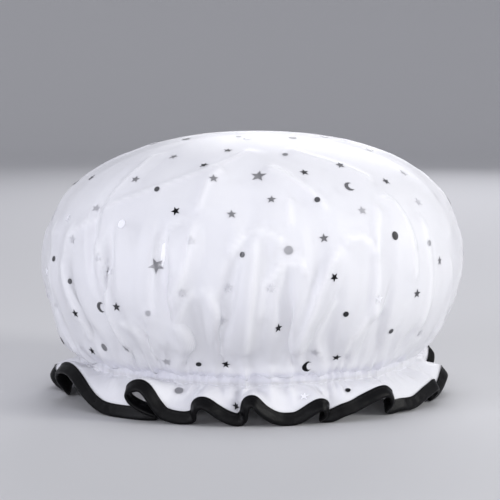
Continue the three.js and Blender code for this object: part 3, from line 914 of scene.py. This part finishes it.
# Crown of one layer and where its creases lie double and get a painted highlight: rings on the meridian,
# drawn in, settled, held to the seam and round the middle, bloused, then creased and gathered along the
# normals
def settledCrown(layer):
    line = layer["line"]
    even, leaving = waistAngles(rimLine[::2])
    run = np.linspace(cloth["middle"], line["run"][-1], cloth["crownRows"])[:, None]
    out, height = np.interp(run, line["run"], line["out"]), np.interp(run, line["run"], line["height"])
    rise = line["run"][-1] - run
    angle = even + (leaving - even) * np.exp(-rise / laying["leaves"])
    full = 1 + layer["fullness"] * (laying["seamFull"] * np.exp(-rise / laying["seamOver"])
                                    + laying["crownFull"] * bell(rise, laying["crownOver"]))
    base = around(angle, out, height + 0 * angle)
    dent = shoulderDent(angle, height, out)
    grid = base - gridNormals(base) * (startInset(layer, angle, height, rise, run) + dent)[..., None]
    ring = around(leaving, layer["waist"] + 0 * even, line["height"][-1] + 0 * even)
    grid[-1] = ring
    grid = settle(layer, grid, ring, dent, turn * out * full / cloth["columns"], run[1, 0] - run[0, 0])
    sewn = bell(rise, laying["sewn"])[..., None]
    grid = grid * (1 - sewn) + base * sewn
    crowned = bell(run, cloth["flatTop"])[..., None]  # rings round the middle stay round and level
    grid = grid * (1 - crowned) + (base * (1, 1, 0) + grid.mean(1, keepdims=True) * (0, 0, 1)) * crowned
    over = blousing(angle, rise, layer["seed"] + 5)
    grid = grid + around(angle, over, 0 * over)
    grid[..., 2] += seamWander(even) * sewn[..., 0]
    creased, foldsAndHighlights = creaseRelief(angle, out, run)
    calm = (1 - laying["sideCalm"] * np.sin(angle) ** 4) * smoothStep(0, laying["seamCalm"], rise)
    relief = layer["crisp"] * calm * creased + layer["gathered"] * gatheredRelief(even, rise)
    return grid + gridNormals(grid) * relief[..., None], calm * foldsAndHighlights


# Casing: a tube round the elastic, whose gathers waver and stand higher between the two seams
casing = {"waver": 0.012, "wave": 24, "seed": 41}  # radians, mm


def casingGrid(layer):
    even, leaving = waistAngles(rimLine[::2])
    drop = np.linspace(0, 1, cloth["casingRows"] + 1)[1:, None]
    top, bottom = coverLine["height"][-1], build["lowerRow"] - crown["casingEase"]
    arch = np.sin(np.pi * drop)
    waver = casing["waver"] * clothNoise(even, 0 * even, casing["seed"], casing["wave"]) * arch
    out = layer["gathered"] * sum(gatherWaves(even + waver)) * pinched(arch) + layer["waist"]
    height = top + (bottom - top) * drop + seamWander(even)
    return around(leaving[None, :], out + layer["bulge"] * arch, height)


# Each point's place on the flat cut circle, in m, by its angle and its distance along the cloth
def flatCut(grid):
    step = np.linalg.norm(np.diff(grid, axis=0), axis=-1).mean(1)
    run = cloth["middle"] + np.concatenate([[0], np.cumsum(step)])
    even = evenAngles(cloth["columns"])
    return np.stack([run[:, None] * np.sin(even), -run[:, None] * np.cos(even)], -1) * mm, run[-1]


def clothPiece(name, grid, material):
    flat, reach = flatCut(grid)
    points = np.concatenate([grid[:1].mean(1), grid.reshape(-1, 3)])
    uv = np.concatenate([[[0, 0]], flat.reshape(-1, 2)])
    index = np.arange(cloth["columns"])
    fan = np.stack([0 * index, index + 1, (index + 1) % cloth["columns"] + 1], -1)
    piece = makePiece(name, points, [fan, ringFaces(len(grid), cloth["columns"], 1)], material, uv)
    print(name, "reaches", round(reach), "mm along the cloth")
    return piece, reach


innerShell, outerShell = reachTable(liningLine), reachTable(coverLine)
coverOver, liningHang, liningIn = 0.5, 6, 0.8  # mm: cover over the lining, lining's room, its seam's depth
coverLayer = {
    "line": coverLine, "shells": ((innerShell[0], innerShell[1] + coverOver), outerShell),
    "waist": build["coverWaist"] + gathering["stand"], "bulge": 0.0, "seed": 11,
    "depth": 3.4, "fullness": 1.0, "crisp": 1.45, "gathered": 1.0, "finest": 2,
}
liningLayer = {
    "line": liningLine, "shells": ((innerShell[0], innerShell[1] - liningHang), innerShell),
    "waist": build["liningWaist"] - liningIn, "bulge": -0.5, "seed": 23,
    "depth": 4.0, "fullness": 1.8, "crisp": 0.0, "gathered": 0.4, "finest": 1,
}
middleRuffle, ruffleWay = ruffleGrid(rimLine[::2], build["coverWaist"], cloth["ruffleRows"] + 1)
coverCrown, coverFoldsAndHighlights = settledCrown(coverLayer)
coverApart = cloth["apart"] * np.clip(2 * ruffleWay, 0, 1)
coverRuffle = middleRuffle + gridNormals(middleRuffle) * coverApart[..., None]
coverGrid = np.concatenate([coverCrown, casingGrid(coverLayer), coverRuffle[1:]])
cover, coverReach = clothPiece("organza_cover", coverGrid, materials["organza"])
# The cover's crease mask: doubled cloth, and a painted highlight along it
foldAndHighlightMarks = np.zeros(len(cover.data.vertices), np.float32)
foldAndHighlightMarks[1:1 + coverFoldsAndHighlights.size] = coverFoldsAndHighlights.ravel()
cover.data.attributes.new("fold_and_highlight", "FLOAT", "POINT").data.foreach_set("value", foldAndHighlightMarks)
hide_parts("outer_cover")

# The lining's ruffle lies under the cover's, and its first third comes in to its own casing
liningCasing = casingGrid(liningLayer)
liningRuffle = middleRuffle - gridNormals(middleRuffle) * cloth["apart"]
comeIn = 1 - smoothStep(0, ruffle["liningIn"], ruffleWay)
liningRuffle = liningRuffle + (liningCasing[-1] - liningRuffle[0]) * comeIn[..., None]
liningGrid = np.concatenate([settledCrown(liningLayer)[0], liningCasing, liningRuffle[1:]])
lining, liningReach = clothPiece("film_lining", liningGrid, materials["film"])
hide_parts("lining")


# Satin tape over both raw edges: a folded section carried along the rim

tape = {
    # from the middle of the tape towards its fold, and out from the ruffle's middle surface, in mm
    "section": [
        (-3.4, 0.95), (-3.0, 1.15), (-2.0, 0.9), (-0.8, 1.12), (1.2, 1.15), (2.5, 1.0), (3.2, 0.6),
        (3.4, 0.0), (3.2, -0.6), (2.5, -1.0), (1.2, -1.15), (-0.8, -1.12), (-2.0, -0.9), (-3.0, -1.15),
        (-3.4, -0.95), (-3.2, -0.6), (2.6, -0.5), (2.6, 0.5), (-3.2, 0.6),
    ],
    "stitchAt": -2.0, "stitchOut": 0.9,
    "pucker": 0.06, "puckerWave": 6, "seed": 31,
    "lowest": 0.02,  # mm above the table
}


def makeTape():
    way, along = foldWay(rimLine)
    outward = np.cross(way, along)
    even = evenAngles(len(rimLine))
    noise = clothNoise(even, 0 * even, tape["seed"], tape["puckerWave"], radius=rimLength / turn)
    pucker = 1 + tape["pucker"] * noise
    section = np.array(tape["section"])
    points = rimLine + way * section[:, None, :1] + outward * section[:, None, 1:] * pucker[:, None]
    points[..., 2] = np.maximum(points[..., 2], tape["lowest"])
    run = np.linspace(0, rimLength, len(rimLine), endpoint=False)
    uv = np.stack(np.broadcast_arrays(run[None, :], runAlong(section)[:, None]), -1) * mm
    faces = ringFaces(len(section) + 1, len(rimLine)) % (len(section) * len(rimLine))
    piece = makePiece("satin_binding", points.reshape(-1, 3), [faces], materials["satin"], uv.reshape(-1, 2))
    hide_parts("rim_binding")
    return way, outward


tapeWay, tapeOutward = makeTape()
print("tape made")


# Stitches: short threads that arch out of the cloth, tapering into it at both ends

stitch = {
    "casingLength": 2.6, "bindingLength": 2.3, "gap": 0.5, "thick": 0.2, "rings": 5, "sides": 6,
    "arch": 0.45, "dip": 0.9, "taper": 0.55,  # shares of its thickness: out, in again at its ends, thinner
}


def stitchRow(name, path, outward, length, material, node):
    loop = np.concatenate([path, path[:1]])
    run = runAlong(loop)
    count = int(run[-1] // (length + stitch["gap"]))
    share = np.linspace(0, 1, stitch["rings"])
    at = run[-1] / count * np.arange(count)[:, None] + length * share
    facing = np.concatenate([outward, outward[:1]])
    centre, normal = readAlong(at, run, loop), unit(readAlong(at, run, facing))
    side = unit(np.cross(np.gradient(centre, axis=1), normal))
    end = (2 * share - 1) ** 4
    arch = stitch["thick"] * (stitch["arch"] - stitch["dip"] * end)
    girth = stitch["thick"] / 2 * (1 - stitch["taper"] * end)
    swing = evenAngles(stitch["sides"])
    ring = (normal[:, :, None] * np.cos(swing)[:, None] + side[:, :, None] * np.sin(swing)[:, None])
    points = (centre + normal * arch[:, None])[:, :, None] + ring * girth[:, None, None]
    each = stitch["rings"] * stitch["sides"]
    start = (np.arange(count) * each)[:, None, None]
    body = (ringFaces(stitch["rings"], stitch["sides"])[None] + start).reshape(-1, 4)
    head = (np.arange(stitch["sides"])[None] + start[:, 0]).reshape(-1, stitch["sides"])
    tail = (each - 1 - np.arange(stitch["sides"])[None] + start[:, 0]).reshape(-1, stitch["sides"])
    piece = makePiece(name, points.reshape(-1, 3), [body, head, tail], material)
    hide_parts(node)


upperRing = cloth["crownRows"] - 1
lowerRing = cloth["crownRows"] + cloth["casingRows"] - 2
for name, grid, row, side, node in (
    ("casing_stitches_upper", coverGrid, upperRing, 1, "upper_casing_thread"),
    ("casing_stitches_lower", coverGrid, lowerRing, 1, "lower_casing_thread"),
    ("casing_loops_upper", liningGrid, upperRing, -1, "upper_bobbin_thread"),
    ("casing_loops_lower", liningGrid, lowerRing, -1, "lower_bobbin_thread"),
):
    outward = gridNormals(grid[row - 1:row + 2])[1] * side
    stitchRow(name, grid[row], outward, stitch["casingLength"], materials["whiteThread"], node)
for name, side, node in (
    ("binding_stitches", 1, "binding_thread"),
    ("binding_loops", -1, "binding_bobbin_thread"),
):
    path = rimLine + tapeWay * tape["stitchAt"] + tapeOutward * (tape["stitchOut"] * side)
    stitchRow(name, path, tapeOutward * side, stitch["bindingLength"], materials["blackThread"], node)
print("stitch rows made")


# Elastic: a ribbed band that winds once round the casing, its ends lapped

elastic = {
    "thickness": 0.8, "lap": 15, "join": 178,  # mm, and the lap's angle in degrees
    "pitch": 1.1,  # mm that it winds in on its way round
    "ribs": 5, "ribHigh": 0.12, "clearance": 0.3,
    "stations": 520, "across": 21,
}


def makeElastic():
    radius = build["elasticRadius"]
    travel = np.linspace(0, turn + elastic["lap"] / radius, elastic["stations"])
    across = np.linspace(-1, 1, elastic["across"])
    middle = (build["elasticLow"] + build["elasticHigh"]) / 2
    half = (build["elasticHigh"] - build["elasticLow"]) / 2
    rib = elastic["ribHigh"] * np.abs(np.cos(elastic["ribs"] * np.pi / 2 * across)) * (np.abs(across) < 1)
    face = np.concatenate([rib - elastic["ribHigh"], -elastic["thickness"] + elastic["ribHigh"] - rib[::-1]])
    up = np.concatenate([across, across[::-1]]) * half + middle
    wound = radius - elastic["clearance"] - elastic["pitch"] * travel / turn
    angle = np.radians(elastic["join"]) + travel
    points = around(angle[None, :], wound[None, :] + face[:, None], up[:, None] + 0 * travel[None, :])
    count = elastic["stations"]
    row, column = np.meshgrid(np.arange(len(face)), np.arange(count - 1), indexing="ij")
    below = (row + 1) % len(face)
    faces = np.stack([row * count + column, row * count + column + 1, below * count + column + 1,
                      below * count + column], -1).reshape(-1, 4)
    ends = np.stack([np.arange(len(face)) * count, np.arange(len(face))[::-1] * count + count - 1])
    uv = np.stack(np.broadcast_arrays(travel * radius, up[:, None]), -1) * mm
    piece = makePiece("braided_elastic", points.reshape(-1, 3), [faces, ends], materials["elastic"],
                      uv.reshape(-1, 2))
    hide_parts("elastic_band")


makeElastic()
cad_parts["elastic_tack"].data.materials.clear()
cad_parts["elastic_tack"].data.materials.append(materials["whiteThread"])
print("elastic made")


# Foil print: stars, dots and moons stamped on the cover. On the side that the photograph shows, each has its
# pixel there and its tone from 0, black, to 1, bright; a dark tone is partly the print's own black and partly
# a painted reflection

foil = {
    "bigStar": 4.2, "smallStar": 2.5, "bigDot": 2.3, "smallDot": 1.5, "moon": 2.9,  # outer radii
    "starWaist": 0.42,  # share of a star's radius between its points
    "dotSides": 12,
    "moonSteps": 8, "moonTips": (49, 74),  # degrees from its open side to its outer and inner arcs
    "hollow": 0.75, "hollowAt": 0.5,  # radius and place of the inner arc, as shares of the outer
    "lift": 0.4,  # of the foil's face over the cloth
    "thick": 0.1,
    "fittings": 3, "stretches": (0.8, 1.5),  # rounds of fitting to the cloth, and the most that each corrects
    "columnReach": 5, "edgeRows": 4,  # grid steps that give the cloth's plane, and that are left at its edges
    "turned": 0.06,  # radians that a seen motif may be turned
    "nudges": (-4, -2, 0, 2, 4),  # pixels that it may stray
    "nudgeCost": 0.03,  # what a pixel of it costs against lying flat and facing the camera
}
seenFoil = {
    "bigStar": [(259, 176, 0.45), (156, 268, 0.5, 172)],
    "smallStar": [
        (247, 139, 0.8), (323, 137, 0.4), (371, 151, 0.5), (337, 160, 0.4), (228, 151, 0.05),
        (173, 158, 0.5), (204, 165, 0.05), (151, 143, 0.3), (93, 177, 0.3), (135, 181, 0.5),
        (213, 178, 0.5), (305, 173, 0.2), (386, 182, 0.3), (403, 173, 0.65), (272, 200, 0.45),
        (362, 212, 0.65), (418, 202, 0.8), (176, 210, 0.05, 30), (232, 213, 0.5), (69, 217, 1),
        (96, 208, 0.7), (73, 241, 0.8), (191, 243, 0.8), (324, 236, 0.4), (439, 263, 0.5), (43, 271, 1),
        (95, 256, 0.85), (111, 273, 0.65, 25), (181, 291, 0.8), (339, 279, 0.05, 180), (417, 292, 0.3),
        (75, 313, 0.1), (116, 308, 0.2), (218, 317, 0.8), (278, 330, 0.1), (420, 332, 0.8),
        (92, 350, 0.05), (126, 349, 0.55), (166, 362, 0.65), (227, 363, 0.05), (314, 351, 0.75),
        (337, 356, 0.05), (305, 396, 1), (236, 406, 0.1), (227, 290, 0.85), (271, 290, 0.85),
        (376, 299, 0.95),
    ],
    "bigDot": [
        (292, 138, 0.2), (122, 224, 1), (395, 236, 0.2), (288, 251, 0.6), (105, 347, 0.5), (179, 391, 0.5),
    ],
    "smallDot": [
        (239, 137, 0.4), (284, 152, 0.5), (157, 188, 0.3), (316, 198, 0.3), (242, 256, 0.25),
        (429, 244, 0.65), (54, 260, 0.3), (66, 282, 0.3), (346, 316, 0.15), (148, 315, 0.65),
        (396, 331, 0.3), (199, 363, 0.15), (348, 390, 0.05),
    ],
    "moon": [(350, 187, 0.4), (103, 309, 0.3), (307, 367, 0.05)],
}
hiddenFoil = {
    "seed": 5, "count": 155, "tries": 6000, "apart": 18, "tones": (0.04, 0.12, 0.35, 0.4, 0.8, 0.95),
    "kinds": ("smallStar", "smallStar", "smallDot", "smallStar", "bigDot", "smallStar", "smallDot", "moon",
              "smallStar", "bigStar"),
    "innermost": 0.013,  # share of the crown's area round its middle that stays bare
    "lastRows": 6,  # rows of it by the seam that stay bare
    "facing": 0.15, "front": -30,  # cloth that faces the camera more, or lies before this y, is seen
}


def flatWay(angle):
    return np.stack([np.cos(angle), np.sin(angle)], -1)


# A motif's flat points, the faces of its top and the loop round its edge. A star or dot is its middle, its
# outline at half size and its outline; a moon is three lines from its outer arc to its inner one
def motifPattern(kind):
    size = foil[kind]
    if kind == "moon":
        count = foil["moonSteps"] + 1
        swing, hollow = np.radians([np.linspace(tip, 360 - tip, count) for tip in foil["moonTips"]])
        outer, inner = flatWay(swing), foil["hollow"] * flatWay(hollow) + (foil["hollowAt"], 0)
        flat = size * np.concatenate([outer, (outer + inner) / 2, inner])
        order = np.arange(3 * count).reshape(3, -1)
        quads = np.stack([order[:-1, :-1], order[:-1, 1:], order[1:, 1:], order[1:, :-1]], -1)
        edge = np.concatenate([order[0], order[1, -1:], order[2, ::-1], order[1, :1]])
        return flat, [quads.reshape(-1, 4)], edge
    star = "Star" in kind
    sides = 10 if star else foil["dotSides"]
    angle = evenAngles(sides) + np.pi / 2
    reach = np.where(np.arange(sides) % 2 == 0, 1, foil["starWaist"] if star else 1)
    outline = size * reach[:, None] * flatWay(angle)
    index, beside = np.arange(sides), np.roll(np.arange(sides), -1)
    fan = np.stack([0 * index, index + 1, beside + 1], -1)
    quads = np.stack([index + sides, beside + sides, beside, index], -1) + 1
    return np.concatenate([[[0, 0]], outline / 2, outline]), [fan, quads], index + sides + 1


# Point and outward normal on the cover at fractional rows and columns: four grid points, weighed
def onCover(row, column):
    low = np.clip(np.floor(row).astype(int), 0, len(coverGrid) - 2)
    left = np.floor(column).astype(int)
    down, right = (row - low)[..., None], (column - left)[..., None]
    left, beside = left % cloth["columns"], (left + 1) % cloth["columns"]

    def weigh(values):
        near = values[low, left] * (1 - right) + values[low, beside] * right
        far = values[low + 1, left] * (1 - right) + values[low + 1, beside] * right
        return near * (1 - down) + far * down

    return weigh(coverGrid), unit(weigh(coverNormals))


coverNormals = gridNormals(coverGrid)
coverTree = BVHTree.FromPolygons(coverGrid.reshape(-1, 3).tolist(),
                                 ringFaces(len(coverGrid), cloth["columns"]).tolist())


# Mean step of the cover along one of the grid's ways, as a vector over a few neighbours
def gridStep(axis, reach=3):
    return (np.roll(coverGrid, -reach, axis) - np.roll(coverGrid, reach, axis)) / (2 * reach)


# Grid row and column of the cover's point that a photograph's pixel shows, or of one beside it where the
# cloth is flatter and faces the camera more squarely, with the motif's tone and turn
def seenSpots(pixels):
    perColumn = gridStep(1, foil["columnReach"])
    broad = unit(np.cross(gridStep(0), perColumn))
    flat = np.linalg.norm(perColumn, axis=-1) / np.linalg.norm(gridStep(1, 1), axis=-1)
    flat = np.clip(flat, 0, 1)  # less than 1 where the cloth folds back
    spots = []
    for x, y, tone, *turned in pixels:
        found = []
        for across in foil["nudges"]:
            for down in foil["nudges"]:
                eye, toward = pixelRay(photo, x + across, y + down)
                hit, _, face, _ = coverTree.ray_cast(eye, toward)
                if hit is not None:
                    row, column = divmod(face, cloth["columns"])
                    facing = -broad[row, column] @ np.array(toward) * flat[row, column]
                    found.append((facing - foil["nudgeCost"] * math.hypot(across, down), row, column))
        if not found:
            print("no cloth at pixel", x, y)
            continue
        _, row, column = max(found)
        spots.append((row + 0.5, column + 0.5, tone, math.radians(sum(turned))))
    return spots


# Grid rows and columns that lead from each spot to places so many mm to its right and up in the cloth's own
# plane: the two steps of the grid, read in that plane, are solved for them
def stepsOff(row, column, right, up):
    last = len(coverGrid) - 1 - foil["edgeRows"]
    spot = np.clip(row[:, 0].astype(int), foil["edgeRows"], last), column[:, 0].astype(int) % cloth["columns"]
    perRow, perColumn = gridStep(0)[spot], gridStep(1, foil["columnReach"])[spot]
    facing = unit(np.cross(perRow, perColumn))
    level = unit(np.cross((0, 0, 1), facing))
    rising = np.cross(facing, level)
    rowLevel, rowRising, columnLevel, columnRising = (
        (step * way).sum(-1)[:, None] for step in (perRow, perColumn) for way in (level, rising))
    area = rowLevel * columnRising - columnLevel * rowRising
    return (right * columnRising - up * columnLevel) / area, (up * rowLevel - right * rowRising) / area


# Motifs of one kind laid on the cover: each pattern turned in the cloth's own plane, stepped off in rows
# and columns of the grid until its points lie as far from its middle as in the pattern, and lifted; the
# underside is the same pattern again, and walls join the two
def stampMotifs(kind, stamps, first):
    flat, top, edge = motifPattern(kind)
    row, column, spin, tone = np.array(stamps).T[..., None]
    right = flat[:, 0] * np.cos(spin) - flat[:, 1] * np.sin(spin)
    up = flat[:, 0] * np.sin(spin) + flat[:, 1] * np.cos(spin)
    rows, columns = stepsOff(row, column, right, up)
    middle, reach = onCover(row, column)[0], np.maximum(np.linalg.norm(flat, axis=1), 1e-6)
    for _ in range(foil["fittings"]):
        stretch = np.linalg.norm(onCover(row + rows, column + columns)[0] - middle, axis=-1) / reach
        stretch = np.clip(stretch, *foil["stretches"])
        rows, columns = rows / stretch, columns / stretch
    point, normal = onCover(row + rows, column + columns)
    face = point + normal * foil["lift"]
    points = np.stack([face, face - normal * foil["thick"]], 1).reshape(-1, 3)
    count = len(flat)
    start = (first + 2 * count * np.arange(len(stamps)))[:, None, None]
    wall = np.stack([edge, edge + count, np.roll(edge, -1) + count, np.roll(edge, -1)], -1)
    blocks = top + [part[:, ::-1] + count for part in top] + [wall]
    faces = [(block + start).reshape(-1, block.shape[1]) for block in blocks]
    rimFlag = np.zeros((2, count), int)
    rimFlag[:, edge] = [[1], [2]]
    return points, faces, np.repeat(tone, 2 * count), np.tile(rimFlag.ravel(), len(stamps))


# Motifs out of the camera's sight, at random places of the crown that keep their distance from all the others
def scatterHidden(stamps, rng):
    rows = cloth["crownRows"] - hiddenFoil["lastRows"]
    towardCamera = np.array(backward(photo))
    taken = [onCover(np.array(row), np.array(column))[0]
             for spots in stamps.values() for row, column, *_ in spots]
    for _ in range(hiddenFoil["tries"]):
        if len(taken) == hiddenFoil["count"]:
            break
        row = rows * math.sqrt(rng.uniform(hiddenFoil["innermost"], 1))
        column = rng.uniform(0, cloth["columns"])
        spot, facing = onCover(np.array(row), np.array(column))
        seen = facing @ towardCamera > hiddenFoil["facing"] or spot[1] < hiddenFoil["front"]
        if seen or min(np.linalg.norm(spot - other) for other in taken) < hiddenFoil["apart"]:
            continue
        kind = hiddenFoil["kinds"][len(taken) % len(hiddenFoil["kinds"])]
        stamps[kind].append((row, column, rng.uniform(0, turn), rng.choice(hiddenFoil["tones"])))
        taken.append(spot)
    print("foil motifs", len(taken))


# All motifs as one piece, with each one's tone, and sharp edges round its face and its underside
def makeFoil():
    rng = np.random.default_rng(hiddenFoil["seed"])
    stamps = {}
    for kind, pixels in seenFoil.items():
        stamps[kind] = [(row, column, turned + rng.uniform(-foil["turned"], foil["turned"]), tone)
                        for row, column, tone, turned in seenSpots(pixels)]
    scatterHidden(stamps, rng)
    parts, first = [], 0
    for kind, spots in stamps.items():
        parts.append(stampMotifs(kind, spots, first))
        first += len(parts[-1][0])
    points, faces, tones, rims = zip(*parts)
    piece = makePiece("foil_print", np.concatenate(points), [block for blocks in faces for block in blocks],
                      materials["foil"])
    tone = piece.data.attributes.new("tone", "FLOAT", "POINT")
    tone.data.foreach_set("value", np.concatenate(tones).astype(np.float32))
    ends = np.empty(2 * len(piece.data.edges), np.int32)
    piece.data.edges.foreach_get("vertices", ends)
    flags = np.concatenate(rims)[ends.reshape(-1, 2)]
    sharp = piece.data.attributes.new("sharp_edge", "BOOLEAN", "EDGE")
    sharp.data.foreach_set("value", (flags[:, 0] == flags[:, 1]) & (flags[:, 0] > 0))
    return piece


foilPrint = makeFoil()


# Stage: a pale sweep, soft lamps and an even sky, in m

stage = {
    "disc": 0.02, "flat": 2.3, "bend": 1.0, "height": 1.05,  # radii of the middle, floor and bend; wall's top
    "sides": 96, "bendSteps": 25,
    "colour": (0.60, 0.60, 0.615), "roughness": 0.85,
}


# Floor and backdrop: a flat line, a quarter circle and a wall, turned about Z
def makeStage():
    arc = np.radians(np.linspace(0, 90, stage["bendSteps"]))
    wall = stage["flat"] + stage["bend"]
    out = np.concatenate([[stage["disc"]], stage["flat"] + stage["bend"] * np.sin(arc), [wall]])
    height = np.concatenate([[0], stage["bend"] * (1 - np.cos(arc)), [stage["height"]]])
    swing = evenAngles(stage["sides"])
    points = around(swing[None, :], out[:, None], height[:, None]).reshape(-1, 3)
    middle = np.arange(stage["sides"])[::-1][None]
    material = newMaterial("pale_paper", stage["colour"], Roughness=stage["roughness"])[0]
    faces = [ringFaces(len(out), stage["sides"])[:, ::-1], middle]
    sweep = makeObject("paper_sweep", points, faces, material)


lampAim, lampSpread = Vector((0, 0, 0.07)), math.radians(120)
lamps = [  # name, place, width, height, power and colour
    ("key_lamp", (1.5, -0.6, 0.6), 0.5, 0.5, 6.2, (1.0, 1.0, 0.97)),
    ("front_lamp", (0.0, -2.0, 0.32), 1.4, 0.4, 4.3, (0.97, 0.97, 1.0)),
    ("fill_lamp", (-1.5, -1.05, 0.45), 0.8, 0.5, 5.2, (0.92, 0.93, 1.0)),
    ("back_lamp", (0.3, 1.9, 0.8), 1.0, 1.0, 6, (0.96, 0.96, 1.0)),
    ("top_lamp", (0.1, 0.2, 1.6), 0.6, 0.6, 1.2, (1.0, 1.0, 1.0)),
]


def softLamp(name, place, wide, tall, power, colour):
    lamp = bpy.data.lights.new(name, "AREA")
    lamp.shape = "RECTANGLE"
    lamp.size, lamp.size_y = wide, tall
    lamp.energy = power
    lamp.spread = lampSpread
    lamp.color = colour
    thing = addObject(name, lamp)
    thing.visible_camera = False
    thing.location = place
    turnToward(thing, lampAim - Vector(place))


sky = {"Color": (0.92, 0.93, 1.0), "Strength": 0.5}


def makeSky():
    world = bpy.data.worlds.new("even_sky")
    world.use_nodes = True
    feed(world.node_tree.nodes["Background"], sky)
    bpy.context.scene.world = world


makeStage()
for lamp in lamps:
    softLamp(*lamp)
makeSky()
bpy.context.scene.view_settings.view_transform = "Standard"
print("stage and lamps set")
